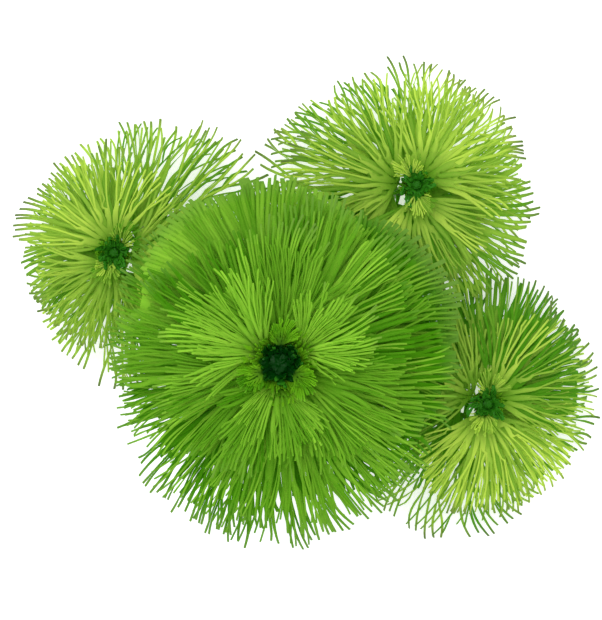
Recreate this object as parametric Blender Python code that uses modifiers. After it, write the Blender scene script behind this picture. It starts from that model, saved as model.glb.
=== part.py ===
"""A cabomba plant: four leafy shoots on one short base that is cut off flat at the ground.

Each shoot is a stem, whorls of fan-shaped leaves and a bud at its tip. A leaf is a stalk and
a fan here, one thin shell that reaches the tips of the real leaf's thread-like segments.
Metres, +Z up. The origin is the middle of the flat cut under the base.
"""

import math
from collections import namedtuple

import bmesh
import bpy
from mathutils import Matrix, Vector

MM = 0.001
GAP = 0.3 * MM

# Driving dimensions: leaves
LEAF_THICKNESS = 0.8 * MM
STALK_WIDTH = 1.1 * MM
STALK_SHARE = 0.16
FAN_HALF_ANGLE = math.radians(71)
SIDE_SEGMENT_SHARE = 0.8
# Each fan is turned a little about its stalk, as a propeller's blades are: height per distance out.
LEAF_TWIST = 0.06

# Driving dimensions: stems, buds and base. Side stems lean, and their whorls lean by this share of it.
MAIN_STEM_RADIUS = 1.25 * MM
SIDE_STEM_RADIUS = 1.0 * MM
TIP_RADIUS_SHARE = 0.62
WHORL_TILT_SHARE = 0.45
SIDE_STEM_START_RADIUS = 5.6 * MM
SIDE_STEM_START_HEIGHT = 3.2 * MM
KNEE_HEIGHT = 9 * MM
BUD_RADIUS = 1.35 * MM
BUD_HEIGHT = 5.0 * MM
BASE_RADIUS = 4.5 * MM
BASE_HEIGHT = 6.5 * MM

# Mesh fineness
FAN_COLUMNS = 8
YOUNG_COLUMNS = 5
BLADE_ROWS = (0.3, 0.66, 1.0)
STEM_SIDES_SETTING = 2
STEM_STEPS = 9
BUD_SIDES = 10
BUD_STEPS = 6
BASE_SIDES = 16

GREEN = (0.105, 0.300, 0.018)
YELLOW_GREEN = (0.250, 0.460, 0.040)
STEM_GREEN = (0.070, 0.190, 0.030)
BUD_GREEN = (0.010, 0.075, 0.012)
BASE_BROWN = (0.140, 0.130, 0.050)

# attach is the height on the stem, rise the leaf's angle above level there, and leaves is a row
# for each leaf: azimuth in degrees, reach from the stem and height of the tip, both in millimetres
Whorl = namedtuple("Whorl", "attach rise leaves")
Shoot = namedtuple("Shoot", "name tip lean lean_azimuth radius young whorls")

SHOOTS = (
    Shoot(
        "main", (0, 0, 60.5), 0, 0, MAIN_STEM_RADIUS, 2,
        (
            Whorl(36.0, 30, ((28, 46, 35), (148, 46, 35), (268, 48, 26))),
            Whorl(42.0, 36, ((100, 45, 44), (220, 45, 38), (340, 46, 42))),
            Whorl(47.5, 43, ((55, 41, 53), (175, 42, 49), (292, 44, 48))),
            Whorl(52.0, 51, ((90, 34, 60), (209, 33, 58), (329, 34, 60))),
            Whorl(55.6, 60, ((147, 29, 65), (262, 28, 65), (30, 26, 66))),
            Whorl(58.6, 76, ((87, 12, 69), (207, 12, 69), (327, 12, 69))),
        ),
    ),
    Shoot(
        "left", (-42.0, 27.1, 26.5), 15, 160, SIDE_STEM_RADIUS, 1,
        (
            Whorl(11.5, 30, ((78, 37, 1.25), (198, 31, 0.35), (322, 30, 6.0))),
            Whorl(16.5, 36, ((33, 40, 15), (153, 31, 6), (268, 34, 9))),
            Whorl(20.8, 44, ((118, 30, 16), (238, 27, 17), (358, 26, 27))),
            Whorl(24.2, 66, ((60, 10, 31), (240, 10, 31))),
        ),
    ),
    Shoot(
        "rear", (34.0, 44.1, 28.5), 15, 15, SIDE_STEM_RADIUS, 1,
        (
            Whorl(13.5, 30, ((20, 35, 0.35), (140, 36, 2), (258, 30, 17))),
            Whorl(18.5, 36, ((82, 35, 9), (200, 34, 22), (322, 36, 17))),
            Whorl(22.8, 44, ((48, 31, 19), (165, 31, 24), (285, 27, 27))),
            Whorl(26.2, 66, ((105, 10, 33), (285, 10, 33))),
        ),
    ),
    Shoot(
        "right", (52.0, -10.9, 26.5), 15, 350, SIDE_STEM_RADIUS, 1,
        (
            Whorl(11.5, 30, ((5, 34, 0.35), (125, 30, 3), (249, 38, 1.35))),
            Whorl(16.5, 33, ((60, 35, 4), (180, 32, 14), (308, 32, 7))),
            Whorl(20.8, 44, ((30, 29, 17), (145, 27, 20), (270, 29, 18))),
            Whorl(24.2, 66, ((80, 10, 31), (260, 10, 31))),
        ),
    ),
)
LETTERS = "abc"


def material(name, color, roughness):
    made = bpy.data.materials.new(name)
    made.use_nodes = True
    shader = made.node_tree.nodes["Principled BSDF"]
    shader.inputs["Base Color"].default_value = (*color, 1)
    shader.inputs["Roughness"].default_value = roughness
    shader.inputs["Metallic"].default_value = 0
    return made


def add_object(name, data, collection, finish):
    made = bpy.data.objects.new(name, data)
    made.data.materials.append(finish)
    collection.objects.link(made)
    return made


def stem_radius(shoot, height):
    """The stem thins towards its tip."""
    share = max(0.0, min(1.0, height / (shoot.tip[2] * MM)))
    return shoot.radius * (1 - (1 - TIP_RADIUS_SHARE) * share)


def lean_direction(shoot):
    angle = math.radians(shoot.lean_azimuth)
    return Vector((math.cos(angle), math.sin(angle), 0))


def stem_point(shoot, height):
    """The middle of the stem at a height on its straight upper part."""
    tip = Vector(shoot.tip) * MM
    below = tip.z - height
    return tip - lean_direction(shoot) * below * math.tan(math.radians(shoot.lean)) - Vector((0, 0, below))


def whorl_frame(shoot, whorl):
    """Carries a whorl's own axes to the plant: its middle is on the stem, and it leans with it a little."""
    tilt = math.radians(shoot.lean) * WHORL_TILT_SHARE
    across = Vector((0, 0, 1)).cross(lean_direction(shoot))
    return Matrix.Translation(stem_point(shoot, whorl.attach * MM)) @ Matrix.Rotation(tilt, 4, across)


def leaf_foot(shoot, whorl):
    """How far from the middle of the stem the leaf's own middle surface begins."""
    return stem_radius(shoot, whorl.attach * MM) + GAP + LEAF_THICKNESS / 2


def leaf_tip(shoot, whorl, leaf):
    """The leaf's middle tip in the whorl's own axes."""
    azimuth, reach, height = leaf
    angle = math.radians(azimuth)
    level = Vector((math.cos(angle), math.sin(angle), 0)) * reach * MM
    rise = Vector((0, 0, (height - whorl.attach) * MM))
    return whorl_frame(shoot, whorl).inverted().to_3x3() @ (level + rise)


def leaf_point(shoot, whorl, tip, twist, along, sideways):
    """Lays a point of the flat leaf, from the foot of its stalk, on the arched leaf."""
    foot = leaf_foot(shoot, whorl)
    reach = math.hypot(tip.x, tip.y)
    out = math.hypot(foot + along, sideways)
    turn = math.atan2(sideways, foot + along)
    share = (out - foot) / (reach - foot)
    arm = math.hypot(reach - foot, tip.z) / 2
    rise = math.radians(whorl.rise)
    start = Vector((foot, 0))
    bend = start + Vector((math.cos(rise), math.sin(rise))) * arm
    end = Vector((reach, tip.z))
    flat = start * (1 - share) ** 2 + bend * 2 * share * (1 - share) + end * share**2
    angle = math.atan2(tip.y, tip.x) + turn
    height = flat.y + twist * flat.x * math.sin(turn)
    return whorl_frame(shoot, whorl) @ Vector((flat.x * math.cos(angle), flat.x * math.sin(angle), height))


def flat_leaf_point(reach, column, row):
    """The flat leaf: rows 0 and 1 are the stalk's two ends and the others cross the fan. column: -1 to 1."""
    stalk = STALK_SHARE * reach
    if row < 2:
        return row * stalk, column * STALK_WIDTH / 2
    angle = column * FAN_HALF_ANGLE
    length = (reach - stalk) * (1 - (1 - SIDE_SEGMENT_SHARE) * column**2) * BLADE_ROWS[row - 2]
    return stalk + length * math.cos(angle), length * math.sin(angle)


def add_leaf(name, shoot, whorl, leaf, twist, columns, collection, finish):
    """A grid laid on the arched leaf and given its thickness."""
    rows = 1 + len(BLADE_ROWS)
    grid = bmesh.new()
    bmesh.ops.create_grid(grid, x_segments=columns, y_segments=rows, size=1)
    tip = leaf_tip(shoot, whorl, leaf)
    length = math.hypot(tip.x, tip.y) - leaf_foot(shoot, whorl)
    for vertex in grid.verts:
        row = round((vertex.co.y + 1) / 2 * rows)
        along, sideways = flat_leaf_point(length, vertex.co.x, row)
        vertex.co = leaf_point(shoot, whorl, tip, twist, along, sideways)
    bmesh.ops.recalc_face_normals(grid, faces=grid.faces)
    mesh = bpy.data.meshes.new(name)
    grid.to_mesh(mesh)
    grid.free()
    mesh.shade_smooth()
    made = add_object(name, mesh, collection, finish)
    shell = made.modifiers.new("thickness", "SOLIDIFY")
    shell.thickness = LEAF_THICKNESS
    shell.offset = 0
    shell.use_even_offset = False
    return made


def stem_route(shoot):
    """Points from the stem's lower end to its tip. A side stem creeps out and turns up at its knee."""
    tip = Vector(shoot.tip) * MM
    if shoot.name == "main":
        return [Vector((0, 0, BASE_HEIGHT + GAP)), stem_point(shoot, 0.5 * tip.z), tip]
    knee = stem_point(shoot, KNEE_HEIGHT)
    out = Vector((knee.x, knee.y, 0)).normalized()
    start = out * SIDE_STEM_START_RADIUS + Vector((0, 0, SIDE_STEM_START_HEIGHT))
    run = (knee - start).length
    after_start = start + out * run * 0.45 - Vector((0, 0, 0.6 * MM))
    before_knee = knee - (tip - knee).normalized() * run * 0.23
    route = []
    for i in range(STEM_STEPS):
        t = i / STEM_STEPS
        first = start * (1 - t) ** 3 + after_start * 3 * t * (1 - t) ** 2
        last = before_knee * 3 * t**2 * (1 - t) + knee * t**3
        route.append(first + last)
    return [*route, knee, tip]


def add_stem(shoot, collection, finish):
    name = f"{shoot.name}_stem"
    curve = bpy.data.curves.new(name, "CURVE")
    curve.dimensions = "3D"
    curve.bevel_depth = 1
    curve.bevel_resolution = STEM_SIDES_SETTING
    curve.use_fill_caps = True
    route = stem_route(shoot)
    line = curve.splines.new("POLY")
    line.points.add(len(route) - 1)
    for point, place in zip(line.points, route):
        point.co = (*place, 1)
        point.radius = stem_radius(shoot, place.z)
    return add_object(name, curve, collection, finish)


def add_turned(name, profile, place, sides, collection, finish):
    """Turns a profile of (radius, height), listed from the top down, round the vertical."""
    mesh = bpy.data.meshes.new(name)
    outline = [(radius, 0, height) for radius, height in profile]
    edges = [(i, i + 1) for i in range(len(outline) - 1)]
    mesh.from_pydata(outline, edges, [])
    made = add_object(name, mesh, collection, finish)
    made.location = place
    turned = made.modifiers.new("turned", "SCREW")
    turned.steps = sides
    turned.render_steps = sides
    turned.use_merge_vertices = True
    turned.merge_threshold = 0.00001
    return made


def add_bud(shoot, collection, finish):
    """An egg, narrower above, with its foot just clear of the stem's tip."""
    profile = [(0, BUD_HEIGHT)]
    for i in range(1, BUD_STEPS):
        angle = math.pi * i / BUD_STEPS
        radius = BUD_RADIUS * math.sin(angle) * (1 - 0.25 * math.cos(angle))
        profile.append((radius, BUD_HEIGHT * (1 + math.cos(angle)) / 2))
    profile.append((0, 0))
    place = Vector(shoot.tip) * MM + Vector((0, 0, GAP))
    return add_turned(f"{shoot.name}_bud", profile, place, BUD_SIDES, collection, finish)


def add_base(collection, finish):
    """The short stock that the stems grow from: flat below, where it is cut off at the ground."""
    profile = (
        (0, BASE_HEIGHT),
        (0.45 * BASE_RADIUS, BASE_HEIGHT),
        (0.75 * BASE_RADIUS, 0.78 * BASE_HEIGHT),
        (BASE_RADIUS, 0.42 * BASE_HEIGHT),
        (0.92 * BASE_RADIUS, 0),
        (0, 0),
    )
    return add_turned("base", profile, (0, 0, 0), BASE_SIDES, collection, finish)


def main():
    for old in list(bpy.data.objects):
        bpy.data.objects.remove(old)
    plant = bpy.data.collections.new("cabomba")
    bpy.context.scene.collection.children.link(plant)
    green = material("leaf", GREEN, 0.45)
    yellow_green = material("side_leaf", YELLOW_GREEN, 0.45)
    stem_green = material("stem", STEM_GREEN, 0.4)
    bud_green = material("bud", BUD_GREEN, 0.35)
    add_base(plant, material("base", BASE_BROWN, 0.7))
    for shoot in SHOOTS:
        add_stem(shoot, plant, stem_green)
        add_bud(shoot, plant, bud_green)
        finish = green if shoot.name == "main" else yellow_green
        for number, whorl in enumerate(shoot.whorls, 1):
            young = number > len(shoot.whorls) - shoot.young
            columns = YOUNG_COLUMNS if young else FAN_COLUMNS
            twist = LEAF_TWIST * (-1) ** number
            for letter, leaf in zip(LETTERS, whorl.leaves):
                name = f"{shoot.name}_leaf_{number}{letter}"
                add_leaf(name, shoot, whorl, leaf, twist, columns, plant, finish)


main()
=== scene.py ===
"""The looks of a cabomba plant: four leafy shoots seen from straight above, on a pale floor.

Every leaf is grown here as one closed mesh. A stalk divides into sprays, each spray forks again
and again into thread-like segments, and the whole is laid on the arched surface of the leaf's CAD
solid, which it replaces. Lengths are metres, +Z up, in the frame of the CAD.
"""

import math
import random
from collections import namedtuple

import bpy
from mathutils import Matrix, Vector, noise


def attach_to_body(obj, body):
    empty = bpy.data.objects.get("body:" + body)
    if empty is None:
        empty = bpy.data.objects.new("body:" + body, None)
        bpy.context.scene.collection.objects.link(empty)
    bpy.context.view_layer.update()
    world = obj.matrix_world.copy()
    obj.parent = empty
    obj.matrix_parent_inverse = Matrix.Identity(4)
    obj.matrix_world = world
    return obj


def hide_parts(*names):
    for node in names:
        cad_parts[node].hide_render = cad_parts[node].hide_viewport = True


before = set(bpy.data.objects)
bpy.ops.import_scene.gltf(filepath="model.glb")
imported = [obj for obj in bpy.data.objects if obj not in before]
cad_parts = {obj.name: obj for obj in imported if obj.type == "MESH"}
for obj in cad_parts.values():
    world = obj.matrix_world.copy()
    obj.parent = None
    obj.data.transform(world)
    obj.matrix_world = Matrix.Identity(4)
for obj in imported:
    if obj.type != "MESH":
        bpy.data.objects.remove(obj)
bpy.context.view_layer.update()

MM = 0.001

# The plant's driving dimensions, as in the CAD
GAP = 0.3 * MM
LEAF_THICKNESS = 0.8 * MM
FAN_HALF_ANGLE = math.radians(71)
SIDE_SEGMENT_SHARE = 0.8
LEAF_TWIST = 0.06
MAIN_STEM_RADIUS = 1.25 * MM
SIDE_STEM_RADIUS = 1.0 * MM
TIP_RADIUS_SHARE = 0.62
WHORL_TILT_SHARE = 0.45
SIDE_STEM_START_RADIUS = 5.6 * MM
SIDE_STEM_START_HEIGHT = 3.2 * MM
# A side stem's bend, as shares of the way from its start to its knee, and how far it dips after its start
CREEP_SHARE = 0.45
RISE_SHARE = 0.23
CREEP_DIP = 0.6 * MM
KNEE_HEIGHT = 9 * MM
BASE_RADIUS = 4.5 * MM
BASE_HEIGHT = 6.5 * MM
# The base's radius at shares of its height, as shares of the largest
BASE_PROFILE = ((0, 0.92), (0.42, 1.0), (0.78, 0.75), (1.0, 0.45))

# attach is the height on the stem, rise the leaf's angle above level there, and leaves is a row
# for each leaf: azimuth in degrees, reach from the stem and height of the tip, both in millimetres
Whorl = namedtuple("Whorl", "attach rise leaves")
# tip is in millimetres too, and lean is how far from upright the stem's straight part is, in degrees
Shoot = namedtuple("Shoot", "name tip lean lean_azimuth radius whorls")

SHOOTS = (
    Shoot(
        "main", (0, 0, 60.5), 0, 0, MAIN_STEM_RADIUS,
        (
            Whorl(36.0, 30, ((28, 46, 35), (148, 46, 35), (268, 48, 26))),
            Whorl(42.0, 36, ((100, 45, 44), (220, 45, 38), (340, 46, 42))),
            Whorl(47.5, 43, ((55, 41, 53), (175, 42, 49), (292, 44, 48))),
            Whorl(52.0, 51, ((90, 34, 60), (209, 33, 58), (329, 34, 60))),
            Whorl(55.6, 60, ((147, 29, 65), (262, 28, 65), (30, 26, 66))),
            Whorl(58.6, 76, ((87, 12, 69), (207, 12, 69), (327, 12, 69))),
        ),
    ),
    Shoot(
        "left", (-42.0, 27.1, 26.5), 15, 160, SIDE_STEM_RADIUS,
        (
            Whorl(11.5, 30, ((78, 37, 1.25), (198, 31, 0.35), (322, 30, 6.0))),
            Whorl(16.5, 36, ((33, 40, 15), (153, 31, 6), (268, 34, 9))),
            Whorl(20.8, 44, ((118, 30, 16), (238, 27, 17), (358, 26, 27))),
            Whorl(24.2, 66, ((60, 10, 31), (240, 10, 31))),
        ),
    ),
    Shoot(
        "rear", (34.0, 44.1, 28.5), 15, 15, SIDE_STEM_RADIUS,
        (
            Whorl(13.5, 30, ((20, 35, 0.35), (140, 36, 2), (258, 30, 17))),
            Whorl(18.5, 36, ((82, 35, 9), (200, 34, 22), (322, 36, 17))),
            Whorl(22.8, 44, ((48, 31, 19), (165, 31, 24), (285, 27, 27))),
            Whorl(26.2, 66, ((105, 10, 33), (285, 10, 33))),
        ),
    ),
    Shoot(
        "right", (52.0, -10.9, 26.5), 15, 350, SIDE_STEM_RADIUS,
        (
            Whorl(11.5, 30, ((5, 34, 0.35), (125, 30, 3), (249, 38, 1.35))),
            Whorl(16.5, 33, ((60, 35, 4), (180, 32, 14), (308, 32, 7))),
            Whorl(20.8, 44, ((30, 29, 17), (145, 27, 20), (270, 29, 18))),
            Whorl(24.2, 66, ((80, 10, 31), (260, 10, 31))),
        ),
    ),
)
LETTERS = "abc"

# How finely a leaf divides. shares are its sprays' lengths, the top spray first. A spray ends in so
# many segments, in so many tufts, and half_width and half_thickness are a thread's. stalk is the
# stalk's share of the leaf. web is how far out the parts of a spray fill their room, and how far out
# they have narrowed to threads, as shares of the length, and hole how wide the slit past a fork opens
# in such a web. taper is how much of a thread's width its tip has lost, ragged how much shorter than
# the longest a segment may be, sway how far the sprays swing apart, which makes their threads cross,
# and pull how far the threads of a tuft draw together.
Fineness = namedtuple(
    "Fineness", "segments tufts shares half_width half_thickness stalk web hole taper ragged sway pull"
)
# The main shoot's leaves: most of them, those of its fourth and fifth whorls, and the webbed ones
GROWN = Fineness(
    segments=46, tufts=6, shares=(0.94, 1.0), half_width=0.34 * MM, half_thickness=0.12 * MM,
    stalk=0.06, web=(0.45, 0.92), hole=0.9, taper=0.15, ragged=0.07, sway=0.8, pull=0.25,
)
UPPER = GROWN._replace(
    segments=42, tufts=5, shares=(0.92, 1.0), half_width=0.31 * MM,
    stalk=0.12, web=(0.25, 0.8), hole=0.6, taper=0.2, ragged=0.14, sway=1.2, pull=0.3,
)
CROWN = UPPER._replace(segments=36, shares=(0.9, 1.0), stalk=0.2, web=(0.2, 0.75), ragged=0.2)
WEBBED = GROWN._replace(
    segments=60, shares=(0.93, 0.96, 1.0), half_width=0.38 * MM,
    web=(0.8, 1.25), hole=0.5, taper=0.3, ragged=0.06, pull=0.2,
)
# The side shoots' leaves: most of them, the open nets, and the ones with the widest webs
FUSED = GROWN._replace(
    segments=32, shares=(0.93, 1.0), half_width=0.33 * MM, half_thickness=0.1 * MM,
    stalk=0.08, web=(0.3, 0.7), hole=1.0, ragged=0.08, sway=1.3, pull=0.15,
)
NET = FUSED._replace(
    segments=30, tufts=5, shares=(0.94, 1.0), half_width=0.35 * MM, web=(0.2, 0.65), sway=1.6, pull=0.2,
)
SOLID = FUSED._replace(segments=38, half_width=0.34 * MM, web=(0.55, 0.95), hole=0.9)
# The top whorls, and the rings of youngest leaves round a bud and in it
YOUNG = GROWN._replace(
    segments=22, tufts=5, shares=(0.8, 1.0), half_width=0.25 * MM,
    stalk=0.47, web=(0.3, 0.9), hole=0.5, taper=0.3, ragged=0.15, sway=1.4, pull=0.2,
)
YOUNG_SIDE = FUSED._replace(
    segments=18, tufts=4, shares=(0.85, 1.0), half_width=0.26 * MM,
    stalk=0.2, web=(0.2, 0.7), hole=0.8, taper=0.2, ragged=0.2, sway=1.4, pull=0.2,
)
YOUNGEST = YOUNG._replace(
    segments=11, tufts=3, shares=(1.0,), half_width=0.22 * MM, half_thickness=0.14 * MM,
    stalk=0.05, web=(0.4, 0.9), hole=0, ragged=0.2, sway=0.8, pull=0.3,
)
UNOPENED = YOUNGEST._replace(
    segments=7, tufts=2, half_width=0.26 * MM, half_thickness=0.2 * MM, web=(0.9, 1.2), sway=0.5,
)

# The main shoot's webbed leaves, then the side shoots' nets and those with the widest webs
WEBBED_LEAVES = ("main_leaf_1a", "main_leaf_2a")
NET_LEAVES = {
    "left": ("1a", "1b", "1c", "2a", "2c"),
    "rear": ("1a", "1b", "2a", "2b"),
    "right": ("1a", "1c", "2b"),
}
SOLID_LEAVES = {
    "left": ("2b",),
    "rear": ("2c", "1c", "3c"),
    "right": ("1b", "2a"),
}
# Leaves that reach farther than their solids, or less far
LONG_LEAVES = {
    "main_leaf_5a": 1.12,
    "main_leaf_2a": 1.04,
    "left_leaf_1a": 1.06,
    "left_leaf_1b": 0.95,
    "left_leaf_2a": 1.06,
    "rear_leaf_2b": 1.14,
    "right_leaf_1a": 1.06,
    "rear_leaf_2a": 0.95,
}

# Tones, from 0 for the darkest tissue to 1 for the fairest
MIDDLE_TONE = 0.5
LEAF_TONE_SPREAD = 0.08
# How much paler or darker each whorl is, each shoot, and each leaf that differs from its shoot's others
MAIN_WHORL_TONES = (0, 0, -0.05, -0.08, -0.03, 0)
# The side shoots' whorls carry painted shading: the lowest is darker as painted shade under the others, the
# upper ones paler as painted light
SIDE_WHORL_PAINTED_SHADING = (-0.14, 0, 0.08, 0.05)
SHOOT_TONES = {"main": 0, "left": 0, "rear": 0.09, "right": 0.04}
LEAF_TONES = {
    "main_leaf_5a": 0.14,
    "main_leaf_5b": 0.14,
    "main_leaf_5c": -0.02,
    "main_leaf_4b": -0.05,
    "main_leaf_3b": -0.15,
    "main_leaf_2b": -0.1,
    "main_leaf_2a": 0.05,
    "main_leaf_1a": -0.2,
    "main_leaf_2c": -0.28,
    "main_leaf_1b": -0.2,
    "left_leaf_2a": -0.1,
    "right_leaf_3b": -0.25,
    "right_leaf_2b": -0.3,
    "right_leaf_2a": -0.35,
    "right_leaf_3a": -0.3,
    "right_leaf_1b": -0.3,
    "right_leaf_3c": 0.08,
    "right_leaf_2c": 0.06,
    "rear_leaf_3c": -0.32,
    "rear_leaf_2c": -0.12,
    "rear_leaf_3a": 0.08,
    "rear_leaf_2a": 0.06,
    "rear_leaf_1c": -0.35,
}
# How much paler or darker a fork's two parts may be: the least, and what the first forks add
FORK_TONE = 0.07
TUFT_TONE = 0.09
# Painted light and shade: the top spray is paler than the ones under it, as if lit while they lie in its
# shade. Each spray also differs a little.
SPRAY_LAYER_PAINTED_SHADE = 0.07
SPRAY_TONE_SPREAD = 0.04
# Painted shade: a thread is darker along its two edges than along its middle, as a round thread is shaded at
# its sides
EDGE_PAINTED_SHADE = 0.14

# A leaf's stalk: how far it reaches into its stem, how much its length may differ, its rings along it,
# and its width at its foot and what it loses by its end, as shares of the half width and thickness
STALK_SINK = 0.7 * MM
STALK_SPREAD = (0.8, 1.2)
STALK_RINGS = (0, 0.35, 0.7, 0.97)
STALK_HALF_WIDTH = 0.5 * MM
STALK_HALF_THICKNESS = 0.4 * MM
STALK_FOOT = 1.2
STALK_NARROWING = 0.45
# The middle of the stalk's thickness that its sprays start from
SPRAY_FOOT_SHARE = 0.8

# How far sprays lie above one another, and how far past the stalk's end they start
SPRAY_SPACING = 0.8 * MM
SPRAY_START = 0.3 * MM
# The most that a spray is turned and swirled. Each has a part of it.
SPRAY_TURN = math.radians(6)
SPRAY_SWIRL = math.radians(10)
SWAY_PARTS = (0.2, 1)
# The top spray's threads are this much of the lowest one's in width, and its web in reach
TOP_SPRAY_WIDTH = 0.8
TOP_SPRAY_WEB = 0.7
# A tuft's outer segments are shorter than its middle one, and no two stand quite the same way apart
OVERREACH = 1.06
TUFT_ROUNDING = 0.15
UNEVEN_SPACING = 0.2
# A fork divides a group between these shares of it
SPLIT_SHARES = (0.3, 0.7)

# Where the forks are along a spray, how far that may differ, and the least between two of them
FIRST_FORK = 0.035
LAST_FORK = 0.72
FORK_CURVE = 1.9
FORK_CHANCE = 0.16
FORK_SPACING = 0.5 * MM
# How a run of thread bows between its forks, how early it turns, and how far a fork's parts part in height
BOW = 0.35
TURN_POWER = 1.7
LIFT_SPREAD_MM = 0.3
# How much wider a thread is for each doubling of the segments that it will end in
BRANCH_WIDTH = 0.14
# A thread's thickness is this and a share of its width, up to its half_thickness
THINNEST = 0.06 * MM
THICKNESS_SHARE = 0.2
RING_SPACING = 1.7 * MM
EDGE_CLEARANCE = 0.02 * MM
# The slit past a fork: its length, how much that may differ, where the rings stand along it, and how
# far past the fork its crotch is
HOLE_LENGTH = 3.2 * MM
HOLE_SPREAD = (0.6, 1.2)
HOLE_STOPS = (0.22, 0.5, 0.78)
CROTCH_REACH = 0.2 * MM
# Where two of a thread's faces meet at more than this, their edge is sharp
EDGE_ANGLE = math.radians(70)

# Grown tissue is softer, and its leaves are warped sideways and waved up and down
SOFT_LENGTH = 30 * MM
WARP_LENGTH = 22 * MM
WARP = 2.0 * MM
WAVE_LENGTH = 14 * MM
WAVE = 1.2 * MM
# Noise vectors start from the clock unless they are seeded, with anything but 0
NOISE_SEED = 4

# Rings of the youngest leaves round a stem's tip, outer first: how many, how far below the tip and
# from the stem's middle they start and how far they reach, in millimetres, rise in degrees and height
# of their own tips above where they start. The cup's leaves bend out first and then up.
Ring = namedtuple("Ring", "count below start reach rise height")
CUP_RINGS = (Ring(9, 2.6, 1.0, 9.8, 10, 8.4), Ring(11, 2.0, 1.0, 7.4, 14, 7.4))
HEART_RINGS = (Ring(8, 1.4, 2.8, 5.4, 66, 4.4), Ring(7, 1.1, 2.2, 4.4, 74, 3.8))
# How much a ring's leaves may differ: azimuth in degrees, reach, height and tone. Inner rings are darker, as
# painted shade nearer the dark middle of the bud.
RING_AZIMUTH_SPREAD = 6
RING_REACH_SPREAD = (0.88, 1.12)
RING_HEIGHT_SPREAD = (0.85, 1.1)
RING_TONE_SPREAD = 0.12
INNER_RING_PAINTED_SHADE = 0.2
YOUNGEST_TWIST = 0.1
# Each ring's leaves have seeds of their own, and the cups' are apart from the hearts'
RING_SEEDS = 100
CUP_SEEDS = 50
CUP_TONE = 0.65
MAIN_BUD_TONE = 0.2
SIDE_BUD_TONE = 0.7
SIDE_BUD_SIZE = 0.45

# The growing tip in the middle of a bud: its size, how far its knobs stand out and how close they are. It is
# also darker than its bud, as painted shade at the bottom of the pit.
HEART_RADIUS = 2.6 * MM
HEART_HEIGHT = 1.3 * MM
HEART_KNOB = 0.45
HEART_KNOB_CLOSENESS = 4.5
HEART_PAINTED_SHADE = 0.2
HEART_ROWS = 18
HEART_SIDES = 32

# Stems, swollen and darker at their whorls and at the bare nodes below them
STEM_SIDES = 14
STEM_STEP = 0.8 * MM
STEM_SINK = 1.8 * MM
NODE_SPACING = 6.5 * MM
NODE_SWELLING = 0.4 * MM
NODE_LENGTH = 0.8 * MM
NODE_DARKER = 0.35
STEM_UNEVEN = 0.08
STEM_UNEVEN_LENGTH = 3 * MM
BASE_SIDES = 48
BASE_ROWS = 20
BASE_UNEVEN = 0.14
BASE_UNEVEN_LENGTH = 2 * MM
# Rows of the cut face, as shares of its radius
CUT_ROWS = (0.85, 0.6, 0.35, 0.15)

# Leaf colours: a darker green near the stalk, partly the tissue's own and partly painted shade of the crown's
# dark middle; dark and fair for the darkest and fairest tones; and tip
LeafColors = namedtuple("LeafColors", "deep dark fair tip")
MAIN_COLORS = LeafColors((0.03, 0.20, 0.003), (0.09, 0.37, 0.002), (0.42, 0.78, 0.06), (0.22, 0.44, 0.06))
SIDE_COLORS = LeafColors((0.17, 0.50, 0.012), (0.12, 0.42, 0.012), (0.68, 0.87, 0.13), (0.20, 0.31, 0.08))
YOUNG_COLORS = LeafColors((0.003, 0.05, 0.006), (0.10, 0.38, 0.006), (0.30, 0.70, 0.02), (0.26, 0.60, 0.04))
YOUNG_SIDE_COLORS = LeafColors(
    (0.02, 0.16, 0.004), (0.09, 0.34, 0.006), (0.25, 0.60, 0.02), (0.25, 0.55, 0.02)
)
# The bud's colours, nearly black: the bud's own dark green together with painted shade of the pit it sits in
BUD_GREEN_AND_PIT_SHADE = LeafColors((0.001, 0.032, 0.003), (0.001, 0.042, 0.002), (0.03, 0.22, 0.006), (0.03, 0.2, 0.008))
# The tones that have a leaf's dark and its fair colour, and where along it the tip's colour begins
LEAF_SHADE_TONES = (0.25, 1.0)
LEAF_TIP_START = 0.85
LEAF_MOTTLE = 0.4
LEAF_MOTTLE_SCALE = 180
LEAF_MOTTLE_DETAIL = 3
# Stem colours from its foot to its tip, and base colours from the middle of the cut to the bark
STEM_COLORS = ((0.0, (0.22, 0.15, 0.05)), (0.35, (0.17, 0.22, 0.05)), (1.0, (0.14, 0.40, 0.04)))
BASE_COLORS = ((0.0, (0.62, 0.58, 0.30)), (0.7, (0.40, 0.42, 0.14)), (0.9, (0.17, 0.11, 0.04)))
# Stems and base are mottled down to this share of their colour, where the noise is at its start or less
MOTTLE_SHADE = 0.35
MOTTLE_START = 0.35
MOTTLE_DETAIL = 4
BLACK = (0, 0, 0)
WHITE = (1, 1, 1)

FLOOR_SIZE = 4
# The floor lies a hair lower than the plant's cut face
FLOOR_DROP = 0.02 * MM
FLOOR_COLOR = (0.9, 0.9, 0.9)
FLOOR_GLOW = (1, 1, 0.99)
FLOOR_GLOW_STRENGTH = 0.45
SUN_STRENGTH = 0.9
SUN_SOFTNESS = math.radians(40)
SUN_TURN = (math.radians(-18), math.radians(-12), 0)

# The photograph's view, from straight above the middle of its frame
CAMERA_PLACE = (5.0 * MM, 12.75 * MM, 700 * MM)
FRAME_PIXELS = 620
FOCAL_PIXELS = 2680
SENSOR_MM = 36
CLIP_START = 0.01


def stem_radius(shoot, height):
    """The stem thins towards its tip."""
    share = max(0.0, min(1.0, height / (shoot.tip[2] * MM)))
    return shoot.radius * (1 - (1 - TIP_RADIUS_SHARE) * share)


def lean_direction(shoot):
    angle = math.radians(shoot.lean_azimuth)
    return Vector((math.cos(angle), math.sin(angle), 0))


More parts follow.
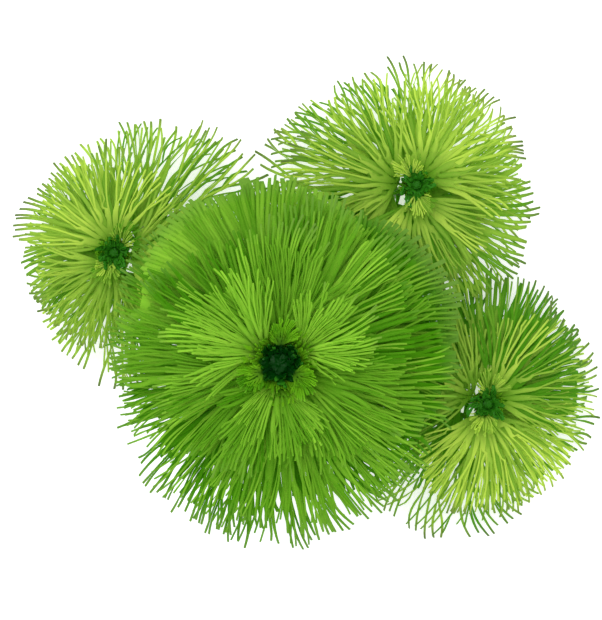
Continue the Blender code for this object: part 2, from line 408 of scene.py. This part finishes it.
def stem_point(shoot, height):
    """The middle of the stem at a height on its straight upper part."""
    tip = Vector(shoot.tip) * MM
    below = tip.z - height
    return tip - lean_direction(shoot) * below * math.tan(math.radians(shoot.lean)) - Vector((0, 0, below))


def whorl_frame(shoot, whorl):
    """Carries a whorl's own axes to the plant: its middle is on the stem, and it leans with it a little."""
    tilt = math.radians(shoot.lean) * WHORL_TILT_SHARE
    across = Vector((0, 0, 1)).cross(lean_direction(shoot))
    return Matrix.Translation(stem_point(shoot, whorl.attach * MM)) @ Matrix.Rotation(tilt, 4, across)


def stem_route(shoot):
    """Points about a millimetre apart along the middle of a stem, from inside the base to its tip."""
    tip = Vector(shoot.tip) * MM
    if shoot.name == "main":
        foot = Vector((0, 0, BASE_HEIGHT - STEM_SINK))
        return between(foot, tip)
    knee = stem_point(shoot, KNEE_HEIGHT)
    out = Vector((knee.x, knee.y, 0)).normalized()
    start = out * SIDE_STEM_START_RADIUS + Vector((0, 0, SIDE_STEM_START_HEIGHT))
    run = (knee - start).length
    after_start = start + out * run * CREEP_SHARE - Vector((0, 0, CREEP_DIP))
    before_knee = knee - (tip - knee).normalized() * run * RISE_SHARE
    steps = math.ceil(run / STEM_STEP)
    creeping = []
    for i in range(steps):
        t = i / steps
        first = start * (1 - t) ** 3 + after_start * 3 * t * (1 - t) ** 2
        last = before_knee * 3 * t**2 * (1 - t) + knee * t**3
        creeping.append(first + last)
    return [*between(start - out * STEM_SINK, start)[:-1], *creeping, *between(knee, tip)]


def between(start, end):
    """Points a stem's step apart along a straight line, both ends among them."""
    steps = math.ceil((end - start).length / STEM_STEP)
    return [start.lerp(end, i / steps) for i in range(steps + 1)]


class LeafSurface:
    """The arched middle surface of one leaf, as in the CAD."""

    def __init__(self, shoot, whorl, leaf, twist, off_stem):
        azimuth, reach, height = leaf
        angle = math.radians(azimuth)
        self.frame = whorl_frame(shoot, whorl)
        level = Vector((math.cos(angle), math.sin(angle), 0)) * reach * MM
        rise = Vector((0, 0, (height - whorl.attach) * MM))
        tip = self.frame.inverted().to_3x3() @ (level + rise)
        self.foot = stem_radius(shoot, whorl.attach * MM) + off_stem
        self.reach = math.hypot(tip.x, tip.y)
        self.azimuth = math.atan2(tip.y, tip.x)
        self.twist = twist
        self.length = self.reach - self.foot
        arm = math.hypot(self.length, tip.z) / 2
        start_rise = math.radians(whorl.rise)
        self.start = Vector((self.foot, 0))
        self.bend = self.start + Vector((math.cos(start_rise), math.sin(start_rise))) * arm
        self.end = Vector((self.reach, tip.z))

    def point(self, along, sideways, lift):
        """A point of the flat leaf, from the foot of its stalk, lifted off the arched surface."""
        out = math.hypot(self.foot + along, sideways)
        turn = math.atan2(sideways, self.foot + along)
        share = (out - self.foot) / self.length
        middle = (
            self.start * (1 - share) ** 2
            + self.bend * 2 * share * (1 - share)
            + self.end * share**2
        )
        slope = (self.bend - self.start) * (1 - share) + (self.end - self.bend) * share
        slope.normalize()
        radius = middle.x - slope.y * lift
        height = middle.y + slope.x * lift + self.twist * middle.x * math.sin(turn)
        angle = self.azimuth + turn
        return self.frame @ Vector((radius * math.cos(angle), radius * math.sin(angle), height))


class Spray:
    """One spray of a leaf laid out flat round the stalk's end: its last segments' angles and lengths."""

    def __init__(self, fineness, blade, side, chance):
        count = fineness.segments
        step = 2 * FAN_HALF_ANGLE / count
        cuts = sorted(chance.sample(range(2, count - 1), fineness.tufts - 1))
        self.turn = side * fineness.sway * chance.uniform(*SWAY_PARTS) * SPRAY_TURN
        self.swirl = side * fineness.sway * chance.uniform(*SWAY_PARTS) * SPRAY_SWIRL
        self.angles = []
        self.lengths = []
        for first, end in zip([0, *cuts], [*cuts, count]):
            center = -FAN_HALF_ANGLE + (first + end) / 2 * step
            reach = OVERREACH * chance.uniform(1 - fineness.ragged, 1)
            for i in range(first, end):
                angle = -FAN_HALF_ANGLE + (i + 0.5) * step
                off = (angle - center) / step / (end - first)
                shorter = (1 - SIDE_SEGMENT_SHARE) * (angle / FAN_HALF_ANGLE) ** 2
                length = blade * (1 - shorter) * reach * (1 - TUFT_ROUNDING * off**2)
                uneven = chance.uniform(-UNEVEN_SPACING, UNEVEN_SPACING) * step
                angle += (center - angle) * fineness.pull + uneven
                self.angles.append(angle)
                self.lengths.append(length * chance.uniform(1 - fineness.ragged, 1.0))
        middles = [(a + b) / 2 for a, b in zip(self.angles, self.angles[1:])]
        self.borders = [self.angles[0] - step, *middles, self.angles[-1] + step]

    def split(self, first, last):
        """A group divides at the widest gap near its middle."""
        count = last - first + 1
        low_share, high_share = SPLIT_SHARES
        low = first + max(1, math.floor(count * low_share))
        high = first + min(count - 1, math.ceil(count * high_share))
        return max(range(low, high + 1), key=lambda i: self.angles[i] - self.angles[i - 1])

    def mean_length(self, first, last):
        return sum(self.lengths[first : last + 1]) / (last - first + 1)


class Growth:
    """Grows one leaf's forking segments as a closed mesh of four-sided rings.

    Each fork adds a crotch between its two parts. Distances are from the stalk's end, and lifts are
    off the arched surface.
    """

    def __init__(self, surface, fineness, seed, tone, stretch=1):
        self.surface = surface
        self.fineness = fineness
        self.seed = seed
        self.base_tone = tone
        self.chance = random.Random(seed)
        self.points = []
        self.faces = []
        self.along = []
        self.tone = []
        self.edge = []
        self.stalk = fineness.stalk * surface.length * self.chance.uniform(*STALK_SPREAD)
        self.blade = (surface.length - self.stalk) * stretch
        # The spray that is growing, and how far down it lies: 0 for the top one, 1 for the lowest
        self.spray = None
        self.layer = 0

    def add_point(self, x, y, lift, height, along, tone, edge):
        """Lays a point on the arched leaf, gently waved as soft tissue is. Nothing sinks into the ground."""
        grown = min(1, math.hypot(x, y) / self.surface.length) * min(1, self.surface.length / SOFT_LENGTH)
        place = Vector((x, y, self.seed * MM)) / WARP_LENGTH
        warp = noise.noise_vector(place) * WARP * grown
        wave = noise.noise(Vector((x, y, self.seed * MM)) / WAVE_LENGTH) * WAVE * grown
        laid = self.surface.point(x + warp.x, y + warp.y, lift + wave + height)
        laid.z = max(laid.z, height + self.fineness.half_thickness)
        self.points.append(laid)
        self.along.append(along)
        self.tone.append(tone)
        self.edge.append(edge)
        return len(self.points) - 1

    def swung_place(self, distance, angle):
        """Where a distance and an angle are on the flat leaf, once the spray has swung."""
        swung = angle + (self.spray.turn + self.spray.swirl * (distance / self.blade) ** 2)
        return self.stalk + distance * math.cos(swung), distance * math.sin(swung)

    def add_ring(self, distance, left, right, half_thickness, lift, along, tone):
        """Left edge, top, right edge and bottom at a distance, between two angles."""
        middle = (left + right) / 2
        corners = ((left, 0, 1), (middle, half_thickness, 0), (right, 0, 1), (middle, -half_thickness, 0))
        ring = []
        for angle, height, edge in corners:
            x, y = self.swung_place(distance, angle)
            ring.append(self.add_point(x, y, lift, height, along, tone, edge))
        return ring

    def join(self, first, second):
        """The four faces between two rings, pointing out."""
        for i in range(4):
            j = (i + 1) % 4
            self.faces.append((first[i], first[j], second[j], second[i]))

    def grow_stalk(self):
        """The stalk's rings, closed at its foot. The last one is returned."""
        rings = []
        for share in STALK_RINGS:
            x = share * self.stalk if share else -STALK_SINK
            narrowing = STALK_FOOT - STALK_NARROWING * share
            half = STALK_HALF_WIDTH * narrowing
            thick = STALK_HALF_THICKNESS * narrowing
            corners = ((half, 0, 1), (0, thick, 0), (-half, 0, 1), (0, -thick, 0))
            tone = self.base_tone
            rings.append([self.add_point(x, y, 0, height, 0, tone, edge) for y, height, edge in corners])
        self.faces.append(tuple(reversed(rings[0])))
        for first, second in zip(rings, rings[1:]):
            self.join(first, second)
        return rings[-1]

    def grow(self):
        """The stalk, and from its end the sprays, the top one first."""
        start = self.grow_stalk()
        shares = self.fineness.shares
        for i, share in enumerate(shares):
            left, top, right, bottom = start
            upper = start
            if i < len(shares) - 1:
                height = STALK_HALF_THICKNESS * (1 - 2 * (i + 1) / len(shares)) * SPRAY_FOOT_SHARE
                middle = self.add_point(self.stalk, 0, 0, height, 0, self.base_tone, 0)
                upper = (left, top, right, middle)
                start = (left, middle, right, bottom)
            self.layer = i / (len(shares) - 1) if len(shares) > 1 else 1
            side = (-1) ** (i + self.seed)
            self.spray = Spray(self.fineness, self.blade * share, side, self.chance)
            lift = SPRAY_SPACING * ((len(shares) - 1) / 2 - i)
            # Painted light and shade: the top spray paler, the lower ones darker
            tone = self.base_tone + SPRAY_LAYER_PAINTED_SHADE * (1 - 2 * self.layer)
            tone += self.chance.uniform(-SPRAY_TONE_SPREAD, SPRAY_TONE_SPREAD)
            self.grow_group(0, self.fineness.segments - 1, 0, upper, SPRAY_START, 0, 0, lift, tone)

    def fork_distance(self, first, last, start):
        """The smaller the group, the farther out it forks."""
        count = self.fineness.segments
        level = math.log(count / (last - first + 1)) / math.log(count / 2)
        share = FIRST_FORK + (LAST_FORK - FIRST_FORK) * level**FORK_CURVE
        share *= self.chance.uniform(1 - FORK_CHANCE, 1 + FORK_CHANCE)
        return max(share * self.spray.mean_length(first, last), start + FORK_SPACING)

    def grow_group(self, first, last, side, ring, start, start_angle, start_lift, end_lift, tone):
        """A run of leaf that will end in the segments first to last, from the fork at start.

        side is where its twin past the fork lies: 1 on its left, -1 on its right, 0 for none.
        """
        spray = self.spray
        single = first == last
        if single:
            end = spray.lengths[first]
            end_angle = spray.angles[first]
        else:
            middle = spray.split(first, last)
            end = self.fork_distance(first, last, start)
            end_angle = spray.borders[middle]
        count = last - first + 1
        spread = FORK_TONE + TUFT_TONE * math.sqrt(count / self.fineness.segments)
        tone += self.chance.uniform(-spread, spread)
        low = spray.borders[first]
        high = spray.borders[last + 1]
        bow = self.chance.uniform(-BOW, BOW) * (high - low)
        run = end - start
        hole = HOLE_LENGTH * self.chance.uniform(*HOLE_SPREAD)
        for distance in self.ring_places(start, end, hole):
            t = min(1, (distance - start) / run)
            eased = 1 - (1 - t) ** TURN_POWER
            angle = start_angle + (end_angle - start_angle) * eased + bow * math.sin(math.pi * t)
            half = self.thread_half_width(count, t) / distance
            slit = 1 - self.fineness.hole * math.sin(math.pi * min(1, (distance - start) / hole))
            left, right = self.part_edges(angle, half, low, high, distance, side, slit)
            lift = start_lift + (end_lift - start_lift) * t
            width = (left - right) * distance
            thick = min(self.fineness.half_thickness, THINNEST + THICKNESS_SHARE * width)
            new = self.add_ring(distance, left, right, thick, lift, distance / self.blade, tone)
            self.join(ring, new)
            ring = new
        if single:
            self.faces.append(tuple(ring))
        else:
            self.fork(first, middle, last, ring, end, end_angle, end_lift, tone)

    def fork(self, first, middle, last, ring, distance, angle, lift, tone):
        """The crotch at the end of a run, and the two parts past it, the left one first."""
        x, y = self.swung_place(distance + CROTCH_REACH, angle)
        crotch = self.add_point(x, y, lift, 0, distance / self.blade, tone, 1)
        left, top, right, bottom = ring
        halves = (
            (middle, last, -1, (left, top, crotch, bottom)),
            (first, middle - 1, 1, (crotch, top, right, bottom)),
        )
        for half_first, half_last, side, half_ring in halves:
            end_lift = lift + self.chance.uniform(-LIFT_SPREAD_MM, LIFT_SPREAD_MM) * MM
            self.grow_group(half_first, half_last, side, half_ring, distance, angle, lift, end_lift, tone)

    def part_edges(self, angle, half, low, high, distance, side, slit):
        """A part's left and right edge: its own, moved out by its web towards its room's borders.

        Both stay clear of the borders, and apart. The slit is on the side of the twin.
        """
        spare = EDGE_CLEARANCE / distance
        web = self.web_share(distance)
        left = angle + half
        left += max(0, high - left) * web * (slit if side > 0 else 1)
        right = angle - half
        right += min(0, low - right) * web * (slit if side < 0 else 1)
        left = max(min(left, high - spare), low + 3 * spare)
        right = min(max(right, low + spare), left - 2 * spare)
        return left, right

    def ring_places(self, start, end, hole):
        """Distances of the rings between two forks, closer together along the slit past the first."""
        places = []
        after = start
        if self.fineness.hole and hole < end - start and self.web_share(start) > 0:
            places = [start + hole * share for share in HOLE_STOPS]
            places.append(start + hole)
            after = start + hole
        steps = max(1 if places else 2, math.ceil((end - after) / RING_SPACING))
        return places + [after + (end - after) * (i + 1) / steps for i in range(steps)]

    def thread_half_width(self, count, t):
        """Half of a thread's width, wider the more segments it will end in."""
        full = self.fineness.half_width * (1 + BRANCH_WIDTH * math.log2(count))
        full *= TOP_SPRAY_WIDTH + (1 - TOP_SPRAY_WIDTH) * self.layer
        if count == 1:
            full *= 1 - self.fineness.taper * t**3
        return full

    def web_share(self, distance):
        """How far a part fills its room at a distance: 1 for all of it, 0 for a thread alone."""
        reach = TOP_SPRAY_WEB + (1 - TOP_SPRAY_WEB) * self.layer
        filled, narrowed = (reach * share for share in self.fineness.web)
        return 1 - min(1, max(0, (distance / self.blade - filled) / (narrowed - filled)))


# Points and faces, and for each point how far along its piece it is, its tone and 1 on a thread's edge
Grown = namedtuple("Grown", "points faces along tone edge")


def joined_mesh(name, growths):
    """One mesh of one or more grown shapes, each closed by itself."""
    joined = Grown([], [], [], [], [])
    for growth in growths:
        first = len(joined.points)
        joined.points.extend(growth.points)
        joined.faces.extend([tuple(first + i for i in face) for face in growth.faces])
        joined.along.extend(growth.along)
        joined.tone.extend(growth.tone)
        joined.edge.extend(growth.edge)
    mesh = bpy.data.meshes.new(name)
    mesh.from_pydata(joined.points, [], joined.faces)
    for label in ("along", "tone", "edge"):
        kept = mesh.attributes.new(label, "FLOAT", "POINT")
        kept.data.foreach_set("value", getattr(joined, label))
    mesh.shade_smooth()
    mesh.set_sharp_from_angle(angle=EDGE_ANGLE)
    return mesh


def add_piece(name, data, material, slot, *nodes):
    """A visible piece that rides on the plant, and that stands for CAD nodes if it names any."""
    piece = bpy.data.objects.new(name, data)
    bpy.context.scene.collection.objects.link(piece)
    piece.data.materials.append(material)
    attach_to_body(piece, "root")
    if nodes:
        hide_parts(*nodes)
    return piece


def principled(name):
    """A new material, its nodes, its links and its shader."""
    material = bpy.data.materials.new(name)
    material.use_nodes = True
    nodes = material.node_tree.nodes
    return material, nodes, material.node_tree.links, nodes["Principled BSDF"]


def attribute(nodes, name):
    made = nodes.new("ShaderNodeAttribute")
    made.attribute_name = name
    return made.outputs["Fac"]


def noise_texture(nodes, scale, detail):
    made = nodes.new("ShaderNodeTexNoise")
    made.inputs["Scale"].default_value = scale
    made.inputs["Detail"].default_value = detail
    return made.outputs["Fac"]


def scaled_sum(nodes, links, value, share, added):
    """A value times a share of it, and another value added."""
    made = nodes.new("ShaderNodeMath")
    made.operation = "MULTIPLY_ADD"
    links.new(value, made.inputs[0])
    made.inputs[1].default_value = share
    links.new(added, made.inputs[2])
    return made.outputs[0]


def ramp(nodes, links, value, stops):
    """The colour of a value on a ramp whose stops are (place, colour)."""
    made = nodes.new("ShaderNodeValToRGB")
    elements = made.color_ramp.elements
    for extra in stops[2:]:
        elements.new(extra[0])
    for element, (place, color) in zip(elements, stops):
        element.position = place
        element.color = (*color, 1)
    links.new(value, made.inputs["Fac"])
    return made.outputs["Color"]


def leaf_material(name, colors, stalk_green_and_shade_reach, through_share):
    """Thin green tissue: a darker green near the stalk, partly its own and partly painted shade of the
    crown's middle; darker and fairer segments, with painted shade along each thread's edges; greyer at their
    tips.
    """
    material, nodes, links, shader = principled(name)
    along = attribute(nodes, "along")
    speckle = noise_texture(nodes, LEAF_MOTTLE_SCALE, LEAF_MOTTLE_DETAIL)
    mottled = scaled_sum(nodes, links, speckle, LEAF_MOTTLE, attribute(nodes, "tone"))
    # Painted shade along each thread's two edges
    edge_shaded = scaled_sum(nodes, links, attribute(nodes, "edge"), -EDGE_PAINTED_SHADE, mottled)
    dark_tone, fair_tone = LEAF_SHADE_TONES
    color = ramp(nodes, links, edge_shaded, ((dark_tone, colors.dark), (fair_tone, colors.fair)))
    # Near the stalk, a darker green that is partly the tissue's own and partly painted shade of the crown's
    # middle; at the tips, their greyer colour
    for stops, other in (
        (((0.0, WHITE), (stalk_green_and_shade_reach, BLACK)), colors.deep),
        (((LEAF_TIP_START, BLACK), (1.0, WHITE)), colors.tip),
    ):
        mixed = nodes.new("ShaderNodeMix")
        mixed.data_type = "RGBA"
        links.new(ramp(nodes, links, along, stops), mixed.inputs["Factor"])
        links.new(color, mixed.inputs["A"])
        mixed.inputs["B"].default_value = (*other, 1)
        color = mixed.outputs["Result"]
    links.new(color, shader.inputs["Base Color"])
    shader.inputs["Roughness"].default_value = 0.5
    shader.inputs["Specular IOR Level"].default_value = 0.06
    through = nodes.new("ShaderNodeBsdfTranslucent")
    links.new(color, through.inputs["Color"])
    both = nodes.new("ShaderNodeMixShader")
    both.inputs["Fac"].default_value = through_share
    links.new(shader.outputs["BSDF"], both.inputs[1])
    links.new(through.outputs["BSDF"], both.inputs[2])
    links.new(both.outputs["Shader"], nodes["Material Output"].inputs["Surface"])
    return material


def bud_material():
    """The same tissue, wet and nearly black: its own dark green darkened by painted shade of the pit it sits
    in.
    """
    material = leaf_material("bud", BUD_GREEN_AND_PIT_SHADE, stalk_green_and_shade_reach=0.3, through_share=0.1)
    shader = material.node_tree.nodes["Principled BSDF"]
    shader.inputs["Roughness"].default_value = 0.25
    shader.inputs["Specular IOR Level"].default_value = 0.08
    return material


def mottled_material(name, stops, tone_share, noise_scale, roughness):
    """Colours along a piece from the attribute along, mottled by noise and by the attribute tone."""
    material, nodes, links, shader = principled(name)
    speckle = noise_texture(nodes, noise_scale, MOTTLE_DETAIL)
    mottled = scaled_sum(nodes, links, attribute(nodes, "tone"), tone_share, speckle)
    shades = ramp(nodes, links, mottled, ((MOTTLE_START, (MOTTLE_SHADE,) * 3), (1.0, WHITE)))
    mixed = nodes.new("ShaderNodeMix")
    mixed.data_type = "RGBA"
    mixed.blend_type = "MULTIPLY"
    mixed.inputs["Factor"].default_value = 1
    links.new(ramp(nodes, links, attribute(nodes, "along"), stops), mixed.inputs["A"])
    links.new(shades, mixed.inputs["B"])
    links.new(mixed.outputs["Result"], shader.inputs["Base Color"])
    shader.inputs["Roughness"].default_value = roughness
    shader.inputs["Specular IOR Level"].default_value = 0.3
    return material


def stem_material():
    return mottled_material("stem", STEM_COLORS, tone_share=0.6, noise_scale=500, roughness=0.4)


def base_material():
    return mottled_material("base", BASE_COLORS, tone_share=0.5, noise_scale=600, roughness=0.7)


def leaf_fineness(shoot, number, letter):
    """The kind of leaf: whorls are numbered from the lowest, and the last one is young."""
    if shoot.name != "main":
        label = f"{number}{letter}"
        if number == len(shoot.whorls):
            return YOUNG_SIDE
        if label in NET_LEAVES[shoot.name]:
            return NET
        return SOLID if label in SOLID_LEAVES[shoot.name] else FUSED
    if f"main_leaf_{number}{letter}" in WEBBED_LEAVES:
        return WEBBED
    return {4: UPPER, 5: CROWN, 6: YOUNG}.get(number, GROWN)


def add_leaves(young_green):
    """Every leaf in place of its CAD solid. A leaf's number in this order is its seed."""
    main_green = leaf_material("main_leaf", MAIN_COLORS, stalk_green_and_shade_reach=0.3, through_share=0.45)
    side_green = leaf_material("side_leaf", SIDE_COLORS, stalk_green_and_shade_reach=0.4, through_share=0.5)
    seed = 0
    for shoot in SHOOTS:
        main = shoot.name == "main"
        slot = "main_leaf" if main else "side_leaf"
        # On the side shoots these whorl tones are painted shading: the lowest whorl darker, the upper ones
        # paler
        whorl_tones = MAIN_WHORL_TONES if main else SIDE_WHORL_PAINTED_SHADING
        for number, (whorl, whorl_tone) in enumerate(zip(shoot.whorls, whorl_tones), 1):
            twist = LEAF_TWIST * (-1) ** number
            finish = main_green if main else side_green
            if main and number == len(shoot.whorls):
                finish = young_green
            for letter, leaf in zip(LETTERS, whorl.leaves):
                node = f"{shoot.name}_leaf_{number}{letter}"
                seed += 1
                tone = MIDDLE_TONE + SHOOT_TONES[shoot.name] + LEAF_TONES.get(node, 0)
                tone += random.Random(seed).uniform(-1, 1) * LEAF_TONE_SPREAD
                tone += whorl_tone
                surface = LeafSurface(shoot, whorl, leaf, twist, GAP + LEAF_THICKNESS / 2)
                fineness = leaf_fineness(shoot, number, letter)
                growth = Growth(surface, fineness, seed, tone, LONG_LEAVES.get(node, 1))
                growth.grow()
                add_piece(f"fine_{node}", joined_mesh(node, [growth]), finish, slot, node)


def heart(shoot, size, tone):
    """The knobbly growing tip in the middle of the bud."""
    grown = Grown([], [], [], [], [])
    middle = Vector(shoot.tip) * MM
    for row in range(HEART_ROWS + 1):
        slope = math.pi * row / HEART_ROWS
        count = 1 if row in (0, HEART_ROWS) else HEART_SIDES
        for side in range(count):
            turn = 2 * math.pi * side / HEART_SIDES
            level = math.sin(slope)
            out = Vector((level * math.cos(turn), level * math.sin(turn), math.cos(slope)))
            bump = 1 + HEART_KNOB * noise.noise(out * HEART_KNOB_CLOSENESS + Vector(shoot.tip))
            place = Vector((out.x * HEART_RADIUS, out.y * HEART_RADIUS, out.z * HEART_HEIGHT)) * bump * size
            grown.points.append(middle + place)
    count = len(grown.points)
    # Past the stalk's darker green with its painted shade, and short of the tip's
    grown.along.extend([0.5] * count)
    grown.tone.extend([tone] * count)
    grown.edge.extend([0] * count)
    last = count - 1
    for side in range(HEART_SIDES):
        after = (side + 1) % HEART_SIDES
        grown.faces.append((0, 1 + side, 1 + after))
        grown.faces.append((last, last - HEART_SIDES + after, last - HEART_SIDES + side))
        for row in range(HEART_ROWS - 2):
            first = 1 + row * HEART_SIDES
            second = first + HEART_SIDES
            grown.faces.append((first + side, second + side, second + after, first + after))
    return grown


def youngest_leaves(shoot, rings, fineness, size, tone, seed):
    """Rings of small upright leaves close round the stem's tip."""
    upright = shoot._replace(lean=0)
    chance = random.Random(seed)
    growths = []
    for number, ring in enumerate(rings):
        for i in range(ring.count):
            azimuth = 360 / ring.count * (i + 0.5 * number)
            azimuth += chance.uniform(-RING_AZIMUTH_SPREAD, RING_AZIMUTH_SPREAD)
            attach = shoot.tip[2] - ring.below
            reach = ring.reach * size * chance.uniform(*RING_REACH_SPREAD)
            top = attach + ring.height * size * chance.uniform(*RING_HEIGHT_SPREAD)
            off_stem = ring.start * size * MM - stem_radius(shoot, attach * MM)
            whorl = Whorl(attach, ring.rise, ())
            surface = LeafSurface(upright, whorl, (azimuth, reach, top), YOUNGEST_TWIST, off_stem)
            # Painted shade: inner rings, nearer the pit, are darker
            toned = tone + chance.uniform(-RING_TONE_SPREAD, RING_TONE_SPREAD) - INNER_RING_PAINTED_SHADE * number
            growth = Growth(surface, fineness, seed + RING_SEEDS * number + i, toned)
            growth.grow()
            growths.append(growth)
    return growths


def add_buds(young_green):
    """The dark wet heart of each crown, its darkness partly painted shade of its pit, and the cup of youngest
    leaves round it.
    """
    young_side_green = leaf_material(
        "young_side_leaf", YOUNG_SIDE_COLORS, stalk_green_and_shade_reach=0.7, through_share=0.4
    )
    dark = bud_material()
    for seed, shoot in enumerate(SHOOTS):
        main = shoot.name == "main"
        size = 1 if main else SIDE_BUD_SIZE
        tone = MAIN_BUD_TONE if main else SIDE_BUD_TONE
        growths = youngest_leaves(shoot, HEART_RINGS, UNOPENED, size, tone, seed)
        # Painted shade: the heart is darker than its bud, at the bottom of the pit
        growths.append(heart(shoot, size, tone - HEART_PAINTED_SHADE))
        node = f"{shoot.name}_bud"
        add_piece(f"fine_{node}", joined_mesh(node, growths), dark, "bud", node)
        finish = young_green if main else young_side_green
        growths = youngest_leaves(shoot, CUP_RINGS, YOUNGEST, size, CUP_TONE, seed + CUP_SEEDS)
        add_piece(f"{shoot.name}_cup", joined_mesh(f"{shoot.name}_cup", growths), finish, "bud")


def add_turned_ring(grown, points, along, tone):
    """Adds one ring of a turned piece and joins it to the ring before."""
    first = len(grown.points)
    count = len(points)
    grown.points.extend(points)
    grown.along.extend([along] * count)
    grown.tone.extend([tone] * count)
    grown.edge.extend([0] * count)
    if first == 0:
        return
    for i in range(count):
        j = (i + 1) % count
        grown.faces.append((first - count + i, first - count + j, first + j, first + i))


def close_ends(grown, sides):
    """One face over the first ring of a turned piece and one over its last."""
    grown.faces.append(tuple(reversed(range(sides))))
    count = len(grown.points)
    grown.faces.append(tuple(range(count - sides, count)))


def node_places(shoot, route, gone):
    """How far along the stem its nodes are: at each whorl, and evenly spaced down the bare part."""
    nodes = []
    for whorl in shoot.whorls:
        nodes.append(next(place for place, point in zip(gone, route) if point.z >= whorl.attach * MM))
    bare = nodes[0] - NODE_SPACING
    while bare > 2 * STEM_SINK:
        nodes.append(bare)
        bare -= NODE_SPACING
    return nodes


def fine_stem(shoot):
    """A round stem, a little uneven, and swollen where leaves stand or stood."""
    route = stem_route(shoot)
    gone = [0]
    for before, after in zip(route, route[1:]):
        gone.append(gone[-1] + (after - before).length)
    nodes = node_places(shoot, route, gone)
    grown = Grown([], [], [], [], [])
    across = lean_direction(shoot).cross(Vector((0, 0, 1)))
    for i, middle in enumerate(route):
        ahead = (route[min(i + 1, len(route) - 1)] - route[max(i - 1, 0)]).normalized()
        across = (across - ahead * across.dot(ahead)).normalized()
        beside = ahead.cross(across)
        swollen = sum(math.exp(-(((gone[i] - node) / NODE_LENGTH) ** 2)) for node in nodes)
        ring = []
        for side in range(STEM_SIDES):
            turn = 2 * math.pi * side / STEM_SIDES
            out = across * math.cos(turn) + beside * math.sin(turn)
            radius = stem_radius(shoot, middle.z) + NODE_SWELLING * swollen
            place = middle + out * radius
            place += out * radius * STEM_UNEVEN * noise.noise(place / STEM_UNEVEN_LENGTH)
            ring.append(place)
        add_turned_ring(grown, ring, gone[i] / gone[-1], MIDDLE_TONE - NODE_DARKER * swollen)
    close_ends(grown, STEM_SIDES)
    return grown


def base_radius(share):
    """The base's radius at a share of its height, as a share of the largest."""
    for (low, first), (high, second) in zip(BASE_PROFILE, BASE_PROFILE[1:]):
        if share <= high:
            return first + (second - first) * (share - low) / (high - low)
    return BASE_PROFILE[-1][1]


def base_row(share):
    """The rugged outline of the base at a share of its height."""
    row = []
    for side in range(BASE_SIDES):
        turn = 2 * math.pi * side / BASE_SIDES
        out = Vector((math.cos(turn), math.sin(turn), 0))
        radius = BASE_RADIUS * base_radius(share)
        place = out * radius + Vector((0, 0, BASE_HEIGHT * share))
        row.append(place + out * radius * BASE_UNEVEN * noise.noise(place / BASE_UNEVEN_LENGTH))
    return row


def fine_base():
    """The rootstock, from its cut face up. along is 0 in the middle of the cut, 1 at its rim and above."""
    grown = Grown([], [], [], [], [])
    rows = [base_row(row / BASE_ROWS) for row in range(BASE_ROWS + 1)]
    middle = Vector((0, 0, 0))
    for share in reversed(CUT_ROWS):
        add_turned_ring(grown, [middle.lerp(point, share) for point in rows[0]], share, MIDDLE_TONE)
    for row in rows:
        add_turned_ring(grown, row, 1, MIDDLE_TONE)
    close_ends(grown, BASE_SIDES)
    return grown


def add_stems():
    stem = stem_material()
    base = base_material()
    for shoot in SHOOTS:
        node = f"{shoot.name}_stem"
        add_piece(f"fine_{node}", joined_mesh(node, [fine_stem(shoot)]), stem, "stem", node)
    add_piece("fine_base", joined_mesh("base", [fine_base()]), base, "base", "base")


def add_floor():
    bpy.ops.mesh.primitive_plane_add(size=FLOOR_SIZE)
    floor = bpy.context.object
    floor.name = "floor"
    floor.location.z = -FLOOR_DROP
    material, _, _, shader = principled("floor")
    shader.inputs["Base Color"].default_value = (*FLOOR_COLOR, 1)
    shader.inputs["Roughness"].default_value = 0.9
    shader.inputs["Emission Color"].default_value = (*FLOOR_GLOW, 1)
    shader.inputs["Emission Strength"].default_value = FLOOR_GLOW_STRENGTH
    floor.data.materials.append(material)


def add_light():
    """An even white sky, and a soft sun from the upper left of the view."""
    world = bpy.data.worlds.new("studio")
    bpy.context.scene.world = world
    world.use_nodes = True
    sky = world.node_tree.nodes["Background"]
    sky.inputs["Color"].default_value = (*WHITE, 1)
    sky.inputs["Strength"].default_value = 1.0
    sun = bpy.data.lights.new("sun", "SUN")
    sun.energy = SUN_STRENGTH
    sun.angle = SUN_SOFTNESS
    lamp = bpy.data.objects.new("sun", sun)
    lamp.rotation_euler = SUN_TURN
    bpy.context.scene.collection.objects.link(lamp)


def add_camera():
    data = bpy.data.cameras.new("camera")
    data.sensor_width = SENSOR_MM
    data.lens = FOCAL_PIXELS / FRAME_PIXELS * SENSOR_MM
    data.clip_start = CLIP_START
    camera = bpy.data.objects.new("camera", data)
    camera.location = CAMERA_PLACE
    bpy.context.scene.collection.objects.link(camera)
    bpy.context.scene.camera = camera


noise.seed_set(NOISE_SEED)
young_green = leaf_material("young_leaf", YOUNG_COLORS, stalk_green_and_shade_reach=0.6, through_share=0.4)
add_leaves(young_green)
add_buds(young_green)
add_stems()
add_floor()
add_light()
add_camera()
bpy.context.scene.view_settings.view_transform = "Standard"
